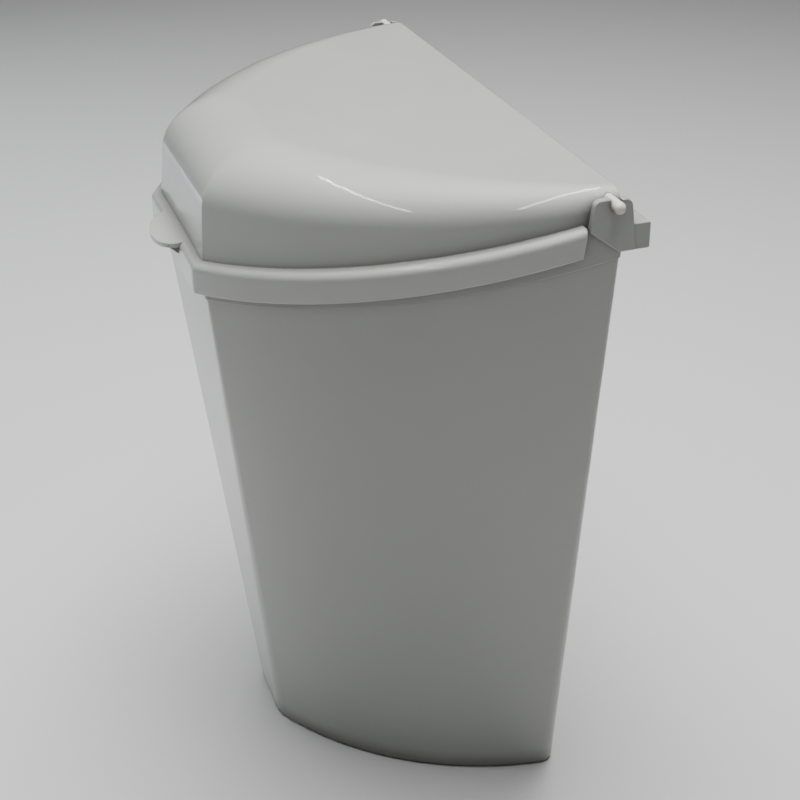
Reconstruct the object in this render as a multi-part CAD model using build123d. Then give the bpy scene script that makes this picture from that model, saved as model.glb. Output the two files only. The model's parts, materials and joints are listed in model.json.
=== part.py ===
from build123d import *

import math
import os

# Wall-hung waste bin with a hinged lid. Millimetres, +Z up, the bin's front towards -Y.
# Sub-parts are laid out from the tub's datum: the middle of its lower back edge. They are
# written from the part's origin: the middle of the four bracket screws, on the wall plane.

# tub, plan sizes at the base and at the underside of the collar
BASE_HALF_BACK = 104.2
BASE_HALF_FRONT = 17.5
BASE_DEPTH = 125.9
BASE_BULGE = 19.6
BASE_BACK_RADIUS = 7.0
BASE_FRONT_RADIUS = 20.0
BASE_EDGE_RADIUS = 2.2
TOP_HALF_BACK = 140.0
TOP_HALF_FRONT = 46.3
TOP_DEPTH = 150.7
TOP_BULGE = 20.2
TOP_BACK_RADIUS = 1.5
TOP_FRONT_RADIUS = 5.0
TOP_BACK = 0.7
TOP_HEIGHT = 300.0
RIM_SLOPE = 0.23
WALL = 2.2
FLOOR = 2.6

# collar that stiffens the rim, and the lower level of the rim along the back
COLLAR_STEP = 0.8
COLLAR_RIM_STEP = 1.3
COLLAR_HEIGHT = 15.7
BACK_RIM_HEIGHT = 314.0

# hanging rail behind the tub: an inverted channel with closed ends and two ribs
RAIL_DEPTH = 13.3
RAIL_BOTTOM = 303.0
RAIL_WALL = 2.0
RAIL_HALF_WIDTH = 141.2
RAIL_CORNER_RADIUS = 1.2
RAIL_RIB_X = 105.0

# hinge ears and pins
EAR_INNER = 138.6
EAR_OUTER = 141.7
EAR_PROFILE = [
    (-14.0, 313.0),
    (-12.2, 326.1),
    (-5.0, 326.1),
    (-1.5, 325.6),
    (3.9, 325.6),
    (6.4, 303.0),
    (-0.8, 303.0),
]
EAR_CORNER_RADII = [0.3, 2.8, 0.3, 0.3, 3.8, 0.3, 0.3]
EAR_EDGE_RADIUS = 0.4
HINGE_Y = -3.4
HINGE_Z = 323.4
PIN_RADIUS = 2.5
PIN_CLEARANCE = 0.05
PIN_INNER_END = 117.0
PIN_OUTER_END = 147.2

# lid: a dome on a flat flange, with a skirt outside the collar
SKIRT_HALF_BACK = 143.8
SKIRT_HALF_FRONT = 45.6
SKIRT_DEPTH = 156.1
SKIRT_BULGE = 23.1
SKIRT_BACK_RADIUS = 6.0
SKIRT_FRONT_RADIUS = 5.0
SKIRT_THICKNESS = 1.6
SKIRT_HEIGHT = 11.6
SKIRT_EDGE_SLOPE = 0.242
SKIRT_EDGE_RADIUS = 0.5
SKIRT_END = -14.4
SKIRT_END_LEAN = 0.157
FLANGE_TOP = 318.0
FLANGE_THICKNESS = 1.8
FLANGE_EDGE_RADIUS = 3.6
FLANGE_INNER_RADIUS = 2.0

# dome: upright wall from the flange, then a rounding that grows from the back to the front
DOME_BACK = 1.0
DOME_FOOT_HALF_BACK = 138.3
DOME_FOOT_HALF_FRONT = 45.0
DOME_FOOT_DEPTH = 151.3
DOME_HALF_BACK = 138.1
DOME_HALF_FRONT = 42.3
DOME_DEPTH = 149.0
DOME_BULGE = 21.2
DOME_BULGE_LOSS = 0.15
DOME_CORNER_SHIFT = 0.26
DOME_BACK_TOP = 327.6
DOME_FRONT_TOP = 330.3
DOME_BACK_ROUNDING = (8.5, 8.5)
DOME_FRONT_ROUNDING = (36.0, 26.5)
DOME_WALL_CORNER_RADIUS = 1.0
DOME_ROOF_CORNER_RADIUS = 36.0
DOME_TURNS = (0, 15, 30, 45, 60, 75, 90)
DOME_WALL = 2.0

# finger tab at the front of the lid, with a gusset under each end
TAB_MIDDLE = -154.0
TAB_HALF_WIDTH = 20.0
TAB_LENGTH = 11.4
TAB_THICKNESS = 2.0
GUSSET_X = 15.5
GUSSET_THICKNESS = 1.5
GUSSET_REACH = 4.5
GUSSET_HEIGHT = 6.0

# pin bosses inside the lid
BOSS_RADIUS = 4.6
BOSS_INNER_END = 117.0
BOSS_OUTER_END = 137.0

# wall bracket with its hook tongue, lower spacer and screws
BRACKET_HALF_WIDTH = 80.0
BRACKET_THICKNESS = 3.0
BRACKET_GAP = 0.4
BRACKET_TOP = 301.0
BRACKET_BOTTOM = 205.0
BRACKET_CORNER_RADIUS = 8.0
TONGUE_FRONT = 8.2
TONGUE_THICKNESS = 3.0
TONGUE_TOP = 311.9
TONGUE_TIP_RADIUS = 1.0
SHELF_TOP = 297.0
SHELF_THICKNESS = 3.0
SPACER_HEIGHT = 8.0
SPACER_GAP = 0.8
SCREW_SPACING_X = 120.0
SCREW_SPACING_Z = 50.0
SCREW_PATTERN_Z = 252.0
SCREW_RADIUS = 2.0
SCREW_SHANK_RADIUS = 2.2
SCREW_HOLE_RADIUS = 2.3
SCREW_HEAD_RADIUS = 4.2
SCREW_HEAD_HEIGHT = 2.6
SCREW_CROWN_RADIUS = 2.1
SCREW_EDGE_HEIGHT = 0.9
SCREW_LENGTH = 22.0
SCREW_TIP_LENGTH = 4.0
SCREW_SLOT_WIDTH = 1.0
SCREW_SLOT_DEPTH = 1.2

BRACKET_FRONT = RAIL_DEPTH + BRACKET_GAP
WALL_PLANE = BRACKET_FRONT + BRACKET_THICKNESS
RIM_HEIGHT = TOP_HEIGHT + COLLAR_HEIGHT
SLOPE_STRETCH = math.sqrt(1 + RIM_SLOPE ** 2)
FAR = 400.0
FROM_ORIGIN = Pos(0, -WALL_PLANE, -SCREW_PATTERN_Z)


def slab(low, high):
    """Box between two opposite corners."""
    size = [b - a for a, b in zip(low, high)]
    return Pos(*low) * Box(*size, align=(Align.MIN, Align.MIN, Align.MIN))


def rim_plane(height, slope=RIM_SLOPE):
    """Plane that slopes down towards the front, as the rim does."""
    return Plane(origin=(0, 0, height), x_dir=(1, 0, 0), z_dir=(0, -slope, 1))


def across_rim(solid):
    """Faces of a solid, in order from its lower side to its upper side along the rim's normal."""
    return solid.faces().sort_by(Axis((0, 0, 0), (0, -RIM_SLOPE, 1)))


def along_x(y, z, radius, left_end, right_end):
    """Cylinder along X."""
    middle = (left_end + right_end) / 2
    return Pos(middle, y, z) * Rot(0, 90, 0) * Cylinder(radius, right_end - left_end)


def with_mirror(solid):
    """A solid on the +X side with its mirror image."""
    return solid + mirror(solid, Plane.YZ)


def plan_outline(half_back, half_front, depth, bulge, back=0.0):
    """Back line, two bowed sides and a short front line."""
    with BuildLine() as outline:
        Line((-half_back, back), (half_back, back))
        SagittaArc((half_back, back), (half_front, -depth), bulge)
        Line((half_front, -depth), (-half_front, -depth))
        SagittaArc((-half_front, -depth), (-half_back, back), bulge)
    return make_face(outline.line)


def rounded_plan(half_back, half_front, depth, bulge, back_radius, front_radius, back=0.0):
    """The plan outline with its four corners rounded."""
    face = plan_outline(half_back, half_front, depth, bulge, back)
    face = fillet(face.vertices().sort_by(Axis.Y)[:2], front_radius)
    return fillet(face.vertices().sort_by(Axis.Y)[-2:], back_radius)


def base_plan():
    """Plan of the tub at its base."""
    return rounded_plan(
        BASE_HALF_BACK,
        BASE_HALF_FRONT,
        BASE_DEPTH,
        BASE_BULGE,
        BASE_BACK_RADIUS,
        BASE_FRONT_RADIUS,
    )


def top_plan():
    """Plan of the tub under its collar, drawn on the sloping plane."""
    return rounded_plan(
        TOP_HALF_BACK,
        TOP_HALF_FRONT,
        TOP_DEPTH * SLOPE_STRETCH,
        TOP_BULGE,
        TOP_BACK_RADIUS,
        TOP_FRONT_RADIUS,
        TOP_BACK,
    )


def tub_shell():
    """Tapered tub with its collar, hollow from the rim down to the floor."""
    tub = loft([base_plan(), rim_plane(TOP_HEIGHT) * top_plan()], ruled=True)
    tub = fillet(tub.faces().sort_by(Axis.Z)[0].edges(), BASE_EDGE_RADIUS)
    collar_foot = rim_plane(TOP_HEIGHT) * offset(top_plan(), COLLAR_STEP)
    collar_rim = rim_plane(RIM_HEIGHT) * offset(top_plan(), COLLAR_RIM_STEP)
    collar = loft([collar_foot, collar_rim], ruled=True)
    hollow_floor = Plane.XY.offset(FLOOR) * offset(base_plan(), -WALL)
    hollow_rim = rim_plane(RIM_HEIGHT) * offset(top_plan(), COLLAR_RIM_STEP - WALL)
    hollow = loft([hollow_floor, hollow_rim], ruled=True)
    behind = slab((-FAR, TOP_BACK, 0), (FAR, FAR, FAR))
    above_back = slab((-FAR, -FAR, BACK_RIM_HEIGHT), (FAR, FAR, FAR))
    return tub + collar - hollow - behind - above_back


def hinge_ear():
    """Ear plate on the +X side, with an open-top slot for the pin between two humps."""
    with BuildLine() as outline:
        FilletPolyline(*EAR_PROFILE, radius=EAR_CORNER_RADII, close=True)
    profile = Plane.YZ.offset(EAR_INNER) * make_face(outline.line)
    plate = extrude(profile, EAR_OUTER - EAR_INNER)
    outer_face = plate.faces().sort_by(Axis.X)[-1]
    plate = fillet(outer_face.edges(), EAR_EDGE_RADIUS)
    slot_radius = PIN_RADIUS + PIN_CLEARANCE
    seat = along_x(HINGE_Y, HINGE_Z, slot_radius, EAR_INNER, EAR_OUTER)
    mouth_low = (EAR_INNER, HINGE_Y - slot_radius, HINGE_Z)
    mouth = slab(mouth_low, (EAR_OUTER, HINGE_Y + slot_radius, FAR))
    return plate - seat - mouth


def hanging_rail():
    """Inverted channel behind the tub, closed at its ends, with ribs across it."""
    ceiling = BACK_RIM_HEIGHT - RAIL_WALL
    inside_back = RAIL_DEPTH - RAIL_WALL
    inner_half = RAIL_HALF_WIDTH - RAIL_WALL
    channel_low = (-RAIL_HALF_WIDTH, -RAIL_WALL / 2, RAIL_BOTTOM)
    channel = slab(channel_low, (RAIL_HALF_WIDTH, RAIL_DEPTH, BACK_RIM_HEIGHT))
    rounded = [e for e in channel.edges().filter_by(Axis.X) if e.center().Y > 0]
    rounded += channel.edges().filter_by(Axis.Z).sort_by(Axis.Y)[-2:]
    channel = fillet(rounded, RAIL_CORNER_RADIUS)
    space = slab((-inner_half, -RAIL_WALL, RAIL_BOTTOM), (inner_half, inside_back, ceiling))
    rib_low = (RAIL_RIB_X, 0, RAIL_BOTTOM + RAIL_WALL)
    rib = slab(rib_low, (RAIL_RIB_X + RAIL_WALL, inside_back, ceiling))
    return channel - space + with_mirror(rib)


def bin_body():
    """Tub, collar, hanging rail and both hinge ears as one moulding."""
    return tub_shell() + hanging_rail() + with_mirror(hinge_ear())


def laid_outline(back, front, half_back, half_front, bulge, front_radius):
    """Plan outline laid on the plane through its back and front lines, given as (y, z)."""
    run = back[0] - front[0]
    fall = back[1] - front[1]
    plane = Plane(origin=(0, *back), x_dir=(1, 0, 0), z_dir=(0, -fall, run))
    face = plan_outline(half_back, half_front, math.hypot(run, fall), bulge)
    return plane * fillet(face.vertices().sort_by(Axis.Y)[:2], front_radius)


def dome_foot(inset):
    """Outline of the dome at the underside of the flange, or of its hollow just below that."""
    height = FLANGE_TOP - FLANGE_THICKNESS - inset
    back = DOME_BACK - inset
    front = inset - DOME_FOOT_DEPTH
    return laid_outline(
        (back, height + RIM_SLOPE * back),
        (front, height + RIM_SLOPE * front),
        DOME_FOOT_HALF_BACK - inset,
        DOME_FOOT_HALF_FRONT - DOME_CORNER_SHIFT * inset,
        DOME_BULGE - DOME_BULGE_LOSS * inset,
        DOME_WALL_CORNER_RADIUS,
    )


def dome_outline(turn, inset):
    """Outline of the dome part-way over its rounding: turn 0 is the wall, 90 the roof.

    Each rounding is a quarter ellipse given by its reach inwards and its height.
    """
    across = 1 - math.cos(math.radians(turn))
    down = 1 - math.sin(math.radians(turn))
    back_reach, back_height = [size - inset for size in DOME_BACK_ROUNDING]
    front_reach, front_height = [size - inset for size in DOME_FRONT_ROUNDING]
    front_step = inset + front_reach * across
    radius_gain = DOME_ROOF_CORNER_RADIUS - DOME_WALL_CORNER_RADIUS
    return laid_outline(
        (DOME_BACK - inset, DOME_BACK_TOP - inset - back_height * down),
        (front_step - DOME_DEPTH, DOME_FRONT_TOP - inset - front_height * down),
        DOME_HALF_BACK - inset - back_reach * across,
        DOME_HALF_FRONT - DOME_CORNER_SHIFT * front_step,
        DOME_BULGE - DOME_BULGE_LOSS * front_step,
        DOME_WALL_CORNER_RADIUS + radius_gain * across,
    )


def dome(inset):
    """Solid under the dome's outer surface, or its hollow when inset by the wall."""
    wall = loft([dome_foot(inset), dome_outline(0, inset)], ruled=True)
    crown = loft([dome_outline(turn, inset) for turn in DOME_TURNS])
    return wall + crown


def skirt_plan():
    """Outer plan of the flange and skirt, drawn on the sloping plane."""
    return rounded_plan(
        SKIRT_HALF_BACK,
        SKIRT_HALF_FRONT,
        SKIRT_DEPTH * SLOPE_STRETCH,
        SKIRT_BULGE,
        SKIRT_BACK_RADIUS,
        SKIRT_FRONT_RADIUS,
    )


def hang_down(face, height, depth):
    """A plan laid on the sloping plane at a height and carried straight down."""
    return extrude(rim_plane(height) * face, depth, dir=(0, 0, -1))


def flange_and_skirt():
    """Flat flange round the dome, turned down outside the collar, cut short of the ears."""
    block = hang_down(skirt_plan(), FLANGE_TOP, 2 * SKIRT_HEIGHT)
    lower_edge = rim_plane(FLANGE_TOP - SKIRT_HEIGHT, SKIRT_EDGE_SLOPE)
    block -= lower_edge * slab((-FAR, -FAR, -FAR), (FAR, FAR, 0))
    block = fillet(across_rim(block)[-1].edges(), FLANGE_EDGE_RADIUS)
    block = fillet(across_rim(block)[0].edges(), SKIRT_EDGE_RADIUS)
    inner_plan = offset(skirt_plan(), -SKIRT_THICKNESS)
    inner = hang_down(inner_plan, FLANGE_TOP - FLANGE_THICKNESS, 2 * SKIRT_HEIGHT)
    inner = fillet(across_rim(inner)[-1].edges(), FLANGE_INNER_RADIUS)
    end_plane = Plane(
        origin=(0, SKIRT_END, FLANGE_TOP),
        x_dir=(1, 0, 0),
        z_dir=(0, 1, -SKIRT_END_LEAN),
    )
    behind = end_plane * slab((-FAR, -FAR, 0), (FAR, FAR, FAR))
    return block - inner - behind


def gusset():
    """Small triangular web under the tab on the +X side, against the skirt."""
    root = SKIRT_THICKNESS / 2 - SKIRT_DEPTH
    level = FLANGE_TOP - RIM_SLOPE * SKIRT_DEPTH - TAB_THICKNESS / 2
    with BuildLine() as outline:
        Polyline(
            (root, level),
            (-SKIRT_DEPTH - GUSSET_REACH, level - RIM_SLOPE * GUSSET_REACH),
            (root, level - GUSSET_HEIGHT),
            close=True,
        )
    web = Plane.YZ.offset(GUSSET_X) * make_face(outline.line)
    return extrude(web, GUSSET_THICKNESS)


def finger_tab():
    """Thin half-oval tab, level with the flange, in front of the skirt."""
    oval = Pos(0, TAB_MIDDLE * SLOPE_STRETCH) * Ellipse(TAB_HALF_WIDTH, TAB_LENGTH)
    plate = hang_down(oval, FLANGE_TOP, TAB_THICKNESS)
    behind = slab((-FAR, FLANGE_EDGE_RADIUS - SKIRT_DEPTH, 0), (FAR, FAR, FAR))
    return plate - behind + with_mirror(gusset())


def lid():
    """Dome, flange, skirt, finger tab and pin bosses as one moulding."""
    outside = dome(0)
    inside = dome(DOME_WALL)
    boss = along_x(HINGE_Y, HINGE_Z, BOSS_RADIUS, BOSS_INNER_END, BOSS_OUTER_END)
    shell = outside - inside
    rim = flange_and_skirt() - inside
    bosses = with_mirror(boss) & outside
    bores = with_mirror(along_x(HINGE_Y, HINGE_Z, PIN_RADIUS, PIN_INNER_END, PIN_OUTER_END))
    return shell + rim + finger_tab() + bosses - bores


def hinge_pin():
    """Round-ended pin on the +X side, pressed into the lid's boss."""
    straight_end = PIN_OUTER_END - PIN_RADIUS
    shank = along_x(HINGE_Y, HINGE_Z, PIN_RADIUS, PIN_INNER_END, straight_end)
    return shank + Pos(straight_end, HINGE_Y, HINGE_Z) * Sphere(PIN_RADIUS)


def wall_bracket():
    """Plate on the wall with a hook tongue that the rail sits over and a lower spacer."""
    plate_low = (-BRACKET_HALF_WIDTH, BRACKET_FRONT, BRACKET_BOTTOM)
    plate = slab(plate_low, (BRACKET_HALF_WIDTH, WALL_PLANE, BRACKET_TOP))
    plate = fillet(plate.edges().filter_by(Axis.Y), BRACKET_CORNER_RADIUS)
    half_width = BRACKET_HALF_WIDTH - BRACKET_CORNER_RADIUS
    in_plate = BRACKET_FRONT + BRACKET_THICKNESS / 2
    shelf_low = (-half_width, TONGUE_FRONT, SHELF_TOP - SHELF_THICKNESS)
    shelf = slab(shelf_low, (half_width, in_plate, SHELF_TOP))
    tongue = slab(shelf_low, (half_width, TONGUE_FRONT + TONGUE_THICKNESS, TONGUE_TOP))
    tip_edges = tongue.edges().filter_by(Axis.X).sort_by(Axis.Z)[-2:]
    tongue = fillet(tip_edges, TONGUE_TIP_RADIUS)
    spacer_bottom = BRACKET_BOTTOM + BRACKET_CORNER_RADIUS
    spacer_low = (-half_width, SPACER_GAP, spacer_bottom)
    spacer = slab(spacer_low, (half_width, in_plate, spacer_bottom + SPACER_HEIGHT))
    bracket = plate + shelf + tongue + spacer
    for x, z in screw_places():
        hole = Pos(x, BRACKET_FRONT, z) * Rot(90, 0, 0) * Cylinder(SCREW_HOLE_RADIUS, FAR)
        bracket -= hole
    return bracket


def screw_places():
    """The four screw axes, as seen along Y."""
    half_x = SCREW_SPACING_X / 2
    half_z = SCREW_SPACING_Z / 2
    return [(x, SCREW_PATTERN_Z + z) for x in (-half_x, half_x) for z in (-half_z, half_z)]


def screw():
    """Pan-head wood screw on the Y axis: head, plain shank through the bracket, body, point."""
    with BuildLine() as outline:
        Polyline(
            (0, -SCREW_HEAD_HEIGHT),
            (SCREW_CROWN_RADIUS, -SCREW_HEAD_HEIGHT),
            (SCREW_HEAD_RADIUS, -SCREW_EDGE_HEIGHT),
            (SCREW_HEAD_RADIUS, 0),
            (SCREW_SHANK_RADIUS, 0),
            (SCREW_SHANK_RADIUS, BRACKET_THICKNESS),
            (SCREW_RADIUS, BRACKET_THICKNESS),
            (SCREW_RADIUS, SCREW_LENGTH - SCREW_TIP_LENGTH),
            (0, SCREW_LENGTH),
            close=True,
        )
    turned = revolve(make_face(outline.line), Axis.Y)
    slot_half = SCREW_SLOT_WIDTH / 2
    slot_low = (-SCREW_HEAD_RADIUS, -SCREW_HEAD_HEIGHT, -slot_half)
    slot = slab(slot_low, (SCREW_HEAD_RADIUS, SCREW_SLOT_DEPTH - SCREW_HEAD_HEIGHT, slot_half))
    return turned - slot


def bracket_screws():
    """The four screws, as separate solids."""
    return Compound([Pos(x, BRACKET_FRONT, z) * screw() for x, z in screw_places()])


def main():
    os.makedirs("parts", exist_ok=True)
    pin = hinge_pin()
    nodes = {
        "bin_body": bin_body(),
        "lid": lid(),
        "hinge_pin_left": pin,
        "hinge_pin_right": mirror(pin, Plane.YZ),
        "wall_bracket": wall_bracket(),
        "bracket_screws": bracket_screws(),
    }
    for name, solid in nodes.items():
        export_step(FROM_ORIGIN * solid, f"parts/{name}.step")


main()
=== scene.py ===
import json
import math

import bpy
from mathutils import Matrix, Vector


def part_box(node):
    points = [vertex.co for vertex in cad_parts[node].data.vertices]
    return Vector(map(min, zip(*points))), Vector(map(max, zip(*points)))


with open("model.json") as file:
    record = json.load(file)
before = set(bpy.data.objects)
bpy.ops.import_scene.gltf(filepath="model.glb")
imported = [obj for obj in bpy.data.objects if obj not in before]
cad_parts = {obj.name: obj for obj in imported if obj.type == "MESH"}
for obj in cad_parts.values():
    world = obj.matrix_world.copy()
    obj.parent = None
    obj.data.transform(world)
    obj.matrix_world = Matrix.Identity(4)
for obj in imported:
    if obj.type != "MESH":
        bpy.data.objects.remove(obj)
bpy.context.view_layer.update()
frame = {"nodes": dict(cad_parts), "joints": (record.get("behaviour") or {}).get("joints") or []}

# Everything is in metres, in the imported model's frame: +Z up, the bin's front towards -Y.
# DATUM is the middle of the tub's lower back edge; lights and camera are placed from it.

# camera
CAMERA_AZIMUTH = 70.45
CAMERA_ELEVATION = 29.28
CAMERA_ROLL = -0.60
CAMERA_DISTANCE = 0.76518
CAMERA_TARGET = Vector((0.0040, -0.0375, 0.170))
CAMERA_LENS = 67.08
CAMERA_SENSOR = 36.0
CAMERA_SHIFT = (-0.0248, 0.00065)
HINGE_BEHIND_DATUM = -0.0034

# studio
BIN_MIDDLE = Vector((0.0, -0.07, 0.18))
TUBE_WIDTH = 0.014
TUBE_HEIGHT = 1.43
TUBE_POWER = 3.2
WORLD_BRIGHT_FROM = 0.8
FLOOR_SIZE = 9.0
FLOOR_COLOUR = (0.60, 0.60, 0.60)
WORLD_LOW = 0.08
WORLD_HIGH = 0.62
WHITE = (1.0, 1.0, 1.0)
WINDOW_BLUE = (0.84, 0.92, 1.0)

# plastics, as linear colours
BIN_GREY = (0.318, 0.330, 0.308)
BIN_GREY_DARK = (0.298, 0.310, 0.289)
LID_GREY = (0.400, 0.413, 0.393)
LID_GREY_DARK = (0.380, 0.393, 0.373)
PIN_IVORY = (0.640, 0.615, 0.560)
PIN_IVORY_DARK = (0.560, 0.535, 0.480)
BRACKET_GREY = (0.250, 0.255, 0.255)
BRACKET_GREY_DARK = (0.215, 0.220, 0.220)
ZINC = (0.700, 0.690, 0.660)
ZINC_DARK = (0.470, 0.460, 0.430)
DUST = (0.620, 0.610, 0.580)
# dark colour painted into gaps and inside corners as shade
PAINTED_GAP_SHADE = (0.110, 0.105, 0.092)

# finishes: how strong each mark is, and the radius that edges are softened to
COAT_ROUGHNESS = 0.035
GLOSS_SPREAD = 0.02
SCUFF_ROUGHNESS = 0.03
DUST_ROUGHNESS = 0.05
DUST_STRENGTH = 0.06
# plastic edges are lightened as a painted highlight on rounded edges that also stands for wear:
# strength here, paler tint below
PLASTIC_EDGE_HIGHLIGHT_AND_WEAR = 0.40
ZINC_WEAR = 0.5
EDGE_HIGHLIGHT_AND_WEAR_PALER = 1.20
# painted shade in gaps and inside corners: how far it reaches and how dark it goes
PAINTED_SHADE_REACH = 0.012
PAINTED_SHADE_STRENGTH = 0.90
PLASTIC_EDGE_RADIUS = 0.0007
PIN_EDGE_RADIUS = 0.0002
METAL_EDGE_RADIUS = 0.0002
FLOOR_ROUGHNESS = 0.85


def tub_datum():
    """Middle of the tub's lower back edge."""
    low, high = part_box("bin_body")
    hinge = next(joint for joint in frame["joints"] if joint["name"] == "lid_hinge")
    return Vector((0.0, hinge["pos_m"][1] - HINGE_BEHIND_DATUM, low.z))


def make_camera(target):
    """Camera at an azimuth, elevation and roll, looking at a point."""
    azimuth = math.radians(CAMERA_AZIMUTH)
    elevation = math.radians(CAMERA_ELEVATION)
    roll = math.radians(CAMERA_ROLL)
    level = Vector((math.sin(azimuth), -math.cos(azimuth), 0))
    back = level * math.cos(elevation) + Vector((0, 0, math.sin(elevation)))
    right = Vector((math.cos(azimuth), math.sin(azimuth), 0))
    up = back.cross(right)
    rolled_right = right * math.cos(roll) + up * math.sin(roll)
    rolled_up = up * math.cos(roll) - right * math.sin(roll)
    data = bpy.data.cameras.new("photo_camera")
    data.sensor_width = CAMERA_SENSOR
    data.lens = CAMERA_LENS
    data.shift_x, data.shift_y = CAMERA_SHIFT
    camera = bpy.data.objects.new("photo_camera", data)
    bpy.context.scene.collection.objects.link(camera)
    rotation = Matrix((rolled_right, rolled_up, back)).transposed()
    camera.matrix_world = Matrix.Translation(target + back * CAMERA_DISTANCE) @ rotation.to_4x4()
    bpy.context.scene.camera = camera


def area_light(name, place, size, power, colour=WHITE, aim=BIN_MIDDLE):
    """Rectangular soft light, placed and aimed from the datum."""
    data = bpy.data.lights.new(name, "AREA")
    data.shape = "RECTANGLE"
    data.size, data.size_y = size
    data.energy = power
    data.color = colour
    light = bpy.data.objects.new(name, data)
    bpy.context.scene.collection.objects.link(light)
    light.location = DATUM + Vector(place)
    towards = DATUM + Vector(aim) - light.location
    light.rotation_euler = towards.to_track_quat("-Z", "Y").to_euler()
    return light


def tube_light(name, start, end, power):
    """Long thin ceiling light between two points of the same height, facing down."""
    start, end = Vector(start), Vector(end)
    light = area_light(name, (start + end) / 2, ((end - start).length, TUBE_WIDTH), power)
    light.rotation_euler = (0.0, 0.0, math.atan2(end.y - start.y, end.x - start.x))
    return light


def light_studio():
    """Soft ceiling light, two ceiling tubes, cool window from the front and a weak fill.

    The ceiling and the window don't show in glossy reflections; the tubes and the fill do.
    """
    ceiling = area_light("ceiling", (-0.10, 0.0, 1.35), (0.9, 0.9), 38.0)
    ceiling.visible_glossy = False
    tube_light("front_tube", (-0.60, -0.34, TUBE_HEIGHT), (0.95, -1.06, TUBE_HEIGHT), TUBE_POWER)
    tube_light("back_tube", (-0.55, 0.48, TUBE_HEIGHT), (1.30, -0.40, TUBE_HEIGHT), TUBE_POWER)
    window = area_light("window", (-1.05, -0.95, 0.05), (0.9, 0.5), 15.0, WINDOW_BLUE)
    window.visible_glossy = False
    area_light("fill", (1.1, 0.9, 0.55), (0.6, 0.6), 0.6)


def light_world():
    """Grey surroundings that brighten from the horizon up."""
    world = bpy.data.worlds.new("studio")
    bpy.context.scene.world = world
    world.use_nodes = True
    tree = world.node_tree
    background = tree.nodes["Background"]
    place = tree.nodes.new("ShaderNodeTexCoord")
    split = tree.nodes.new("ShaderNodeSeparateXYZ")
    height = tree.nodes.new("ShaderNodeMapRange")
    height.inputs["From Min"].default_value = 0.0
    height.inputs["From Max"].default_value = WORLD_BRIGHT_FROM
    height.inputs["To Min"].default_value = WORLD_LOW
    height.inputs["To Max"].default_value = WORLD_HIGH
    tree.links.new(place.outputs["Generated"], split.inputs[0])
    tree.links.new(split.outputs["Z"], height.inputs["Value"])
    tree.links.new(height.outputs["Result"], background.inputs["Strength"])


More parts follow.
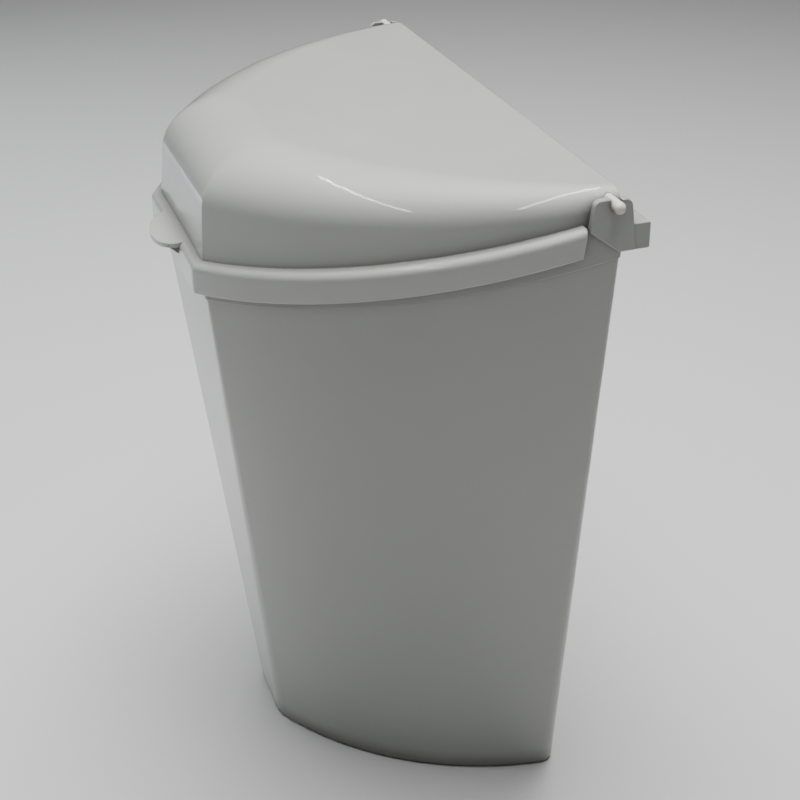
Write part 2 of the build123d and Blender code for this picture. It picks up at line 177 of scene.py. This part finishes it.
class Finish:
    """One procedural material, built from short calls. Patterns are sized in metres."""

    def __init__(self, name):
        self.material = bpy.data.materials.new(name)
        self.material.use_nodes = True
        self.tree = self.material.node_tree
        self.shader = self.tree.nodes["Principled BSDF"]
        self.place = self.add("ShaderNodeTexCoord").outputs["Object"]

    def add(self, kind, **settings):
        node = self.tree.nodes.new(kind)
        for name, value in settings.items():
            setattr(node, name, value)
        return node

    def put(self, socket, value):
        """Links an output to a socket, or sets the socket to a plain value."""
        if isinstance(value, bpy.types.NodeSocket):
            self.tree.links.new(value, socket)
        else:
            socket.default_value = value

    def noise(self, scale, detail=2.0, stretch=(1.0, 1.0, 1.0)):
        """Soft random pattern from 0 to 1, with about scale features per metre."""
        mapping = self.add("ShaderNodeMapping")
        mapping.inputs["Scale"].default_value = stretch
        self.put(mapping.inputs["Vector"], self.place)
        texture = self.add("ShaderNodeTexNoise")
        texture.inputs["Scale"].default_value = scale
        texture.inputs["Detail"].default_value = detail
        self.put(texture.inputs["Vector"], mapping.outputs[0])
        return texture.outputs["Fac"]

    def remap(self, value, low, high, to_low=0.0, to_high=1.0):
        node = self.add("ShaderNodeMapRange", interpolation_type="SMOOTHSTEP")
        node.inputs["From Min"].default_value = low
        node.inputs["From Max"].default_value = high
        node.inputs["To Min"].default_value = to_low
        node.inputs["To Max"].default_value = to_high
        self.put(node.inputs["Value"], value)
        return node.outputs["Result"]

    def combine(self, operation, a, b):
        node = self.add("ShaderNodeMath", operation=operation)
        self.put(node.inputs[0], a)
        self.put(node.inputs[1], b)
        return node.outputs[0]

    def sum(self, a, b):
        return self.combine("ADD", a, b)

    def times(self, a, b):
        return self.combine("MULTIPLY", a, b)

    def mix(self, factor, a, b):
        """Colour between a and b."""
        node = self.add("ShaderNodeMix", data_type="RGBA")
        self.put(node.inputs["Factor"], factor)
        for socket, colour in ((node.inputs[6], a), (node.inputs[7], b)):
            self.put(socket, (*colour, 1.0) if isinstance(colour, tuple) else colour)
        return node.outputs[2]

    def rounded_normal(self, radius):
        """Normal with sharp edges softened, as a mould leaves them."""
        bevel = self.add("ShaderNodeBevel", samples=4)
        bevel.inputs["Radius"].default_value = radius
        return bevel.outputs["Normal"]

    def edges(self, rounded, low, high):
        """1 along sharp edges and 0 on flat surfaces, from the softened normal."""
        true_normal = self.add("ShaderNodeNewGeometry").outputs["Normal"]
        turn = self.add("ShaderNodeVectorMath", operation="DOT_PRODUCT")
        self.put(turn.inputs[0], rounded)
        self.put(turn.inputs[1], true_normal)
        return self.remap(turn.outputs["Value"], low, high, 1.0, 0.0)

    def facing_up(self, low, high):
        split = self.add("ShaderNodeSeparateXYZ")
        self.put(split.inputs[0], self.add("ShaderNodeNewGeometry").outputs["Normal"])
        return self.remap(split.outputs["Z"], low, high)

    def painted_hollow_shade(self, reach):
        """Painted shade mask from ambient occlusion: 1 in narrow gaps and inside corners, 0 on open
        surfaces.
        """
        node = self.add("ShaderNodeAmbientOcclusion", samples=6)
        node.inputs["Distance"].default_value = reach
        return self.remap(node.outputs["AO"], 0.45, 1.0, 1.0, 0.0)

    def bump(self, height, distance, strength, normal):
        node = self.add("ShaderNodeBump")
        node.inputs["Distance"].default_value = distance
        node.inputs["Strength"].default_value = strength
        self.put(node.inputs["Height"], height)
        self.put(node.inputs["Normal"], normal)
        return node.outputs["Normal"]

    def finish(self, colour, roughness, normal, metallic=0.0, coat=0.0, coat_normal=None):
        self.put(self.shader.inputs["Base Color"], colour)
        self.put(self.shader.inputs["Roughness"], roughness)
        self.put(self.shader.inputs["Normal"], normal)
        self.put(self.shader.inputs["Metallic"], metallic)
        self.put(self.shader.inputs["Coat Weight"], coat)
        self.put(self.shader.inputs["Coat Roughness"], COAT_ROUGHNESS)
        self.put(self.shader.inputs["Coat Normal"], coat_normal or normal)
        return self.material


def moulded_plastic(name, light, dark, gloss, grain, edge_radius=PLASTIC_EDGE_RADIUS, coat=0.0):
    """Injection-moulded plastic: faint flow mottling, fine grain, light scuffs, settled dust, edges
    lightened as a painted highlight that also stands for wear, and painted shade in gaps and
    corners.
    """
    f = Finish(name)
    flow = f.noise(9.0, 1.0, (1.0, 1.0, 0.45))
    speck = f.noise(900.0, 2.0)
    colour = f.mix(f.remap(flow, 0.2, 0.8), dark, light)
    colour = f.mix(f.remap(speck, 0.62, 0.80, 0.0, 0.10), colour, dark)
    rounded = f.rounded_normal(edge_radius)
    # paler edges: a painted highlight along rounded edges, partly also wear
    pale_edges = f.edges(rounded, 0.80, 0.99)
    paler = tuple(min(1.0, channel * EDGE_HIGHLIGHT_AND_WEAR_PALER) for channel in light)
    colour = f.mix(f.times(pale_edges, PLASTIC_EDGE_HIGHLIGHT_AND_WEAR), colour, paler)
    # painted shade: darkens the colour in gaps and inside corners, such as under the skirt, where
    # shade falls
    colour = f.mix(f.times(f.painted_hollow_shade(PAINTED_SHADE_REACH), PAINTED_SHADE_STRENGTH), colour, PAINTED_GAP_SHADE)
    settled = f.times(f.facing_up(0.55, 0.98), f.remap(f.noise(45.0, 3.0), 0.35, 0.85))
    colour = f.mix(f.times(settled, DUST_STRENGTH), colour, DUST)
    scuffs = f.remap(f.noise(30.0, 3.0, (1.0, 1.0, 14.0)), 0.66, 0.76)
    hairlines = f.remap(f.noise(26.0, 2.0, (16.0, 1.0, 1.0)), 0.70, 0.76)
    patches = f.remap(f.noise(12.0, 1.0), 0.2, 0.8, gloss - GLOSS_SPREAD, gloss + GLOSS_SPREAD)
    roughness = f.sum(patches, f.times(f.sum(scuffs, hairlines), SCUFF_ROUGHNESS))
    roughness = f.sum(roughness, f.times(settled, DUST_ROUGHNESS))
    wavy = f.bump(f.noise(13.0, 1.0), 0.0016, 0.16, rounded)
    normal = f.bump(f.noise(1500.0, 2.0), 0.00012, grain, wavy)
    normal = f.bump(f.sum(scuffs, hairlines), 0.00004, 0.2, normal)
    return f.finish(colour, roughness, normal, coat=coat, coat_normal=wavy)


def zinc_steel(name):
    """Zinc-plated steel with blotchy passivation and fine turning marks."""
    f = Finish(name)
    blotches = f.remap(f.noise(420.0, 4.0), 0.35, 0.65)
    colour = f.mix(blotches, ZINC_DARK, ZINC)
    rounded = f.rounded_normal(METAL_EDGE_RADIUS)
    pale_edges = f.edges(rounded, 0.86, 0.99)
    colour = f.mix(f.times(pale_edges, ZINC_WEAR), colour, ZINC)
    roughness = f.remap(f.noise(900.0, 3.0), 0.3, 0.7, 0.24, 0.42)
    turning = f.noise(250.0, 2.0, (1.0, 9.0, 1.0))
    normal = f.bump(turning, 0.0001, 0.35, rounded)
    return f.finish(colour, roughness, normal, 1.0)


def dress(node, material):
    """Puts one material on every slot of a CAD node."""
    for slot in frame["nodes"][node].material_slots:
        slot.material = material


def dress_bin():
    """The tub, the glossier lid, the ivory pins, the matt bracket and the zinc screws."""
    dress("bin_body", moulded_plastic("bin_plastic", BIN_GREY, BIN_GREY_DARK, 0.34, 0.10, coat=0.6))
    dress("lid", moulded_plastic("lid_plastic", LID_GREY, LID_GREY_DARK, 0.30, 0.05, coat=1.0))
    pin = moulded_plastic("pin_plastic", PIN_IVORY, PIN_IVORY_DARK, 0.34, 0.12, PIN_EDGE_RADIUS)
    dress("hinge_pin_left", pin)
    dress("hinge_pin_right", pin)
    bracket = moulded_plastic("bracket_plastic", BRACKET_GREY, BRACKET_GREY_DARK, 0.42, 0.30)
    dress("wall_bracket", bracket)
    dress("bracket_screws", zinc_steel("zinc_steel"))


def lay_floor():
    """Plain pale studio floor at the foot of the tub."""
    bpy.ops.mesh.primitive_plane_add(size=FLOOR_SIZE, location=DATUM)
    floor = bpy.context.object
    floor.name = "floor"
    f = Finish("floor_paint")
    tone = f.remap(f.noise(3.0, 3.0), 0.3, 0.7, 0.0, 0.03)
    colour = f.mix(tone, FLOOR_COLOUR, DUST)
    normal = f.bump(f.noise(400.0, 2.0), 0.0002, 0.1, f.rounded_normal(0.001))
    floor.data.materials.append(f.finish(colour, FLOOR_ROUGHNESS, normal))


DATUM = tub_datum()
make_camera(DATUM + CAMERA_TARGET)
light_world()
light_studio()
dress_bin()
lay_floor()
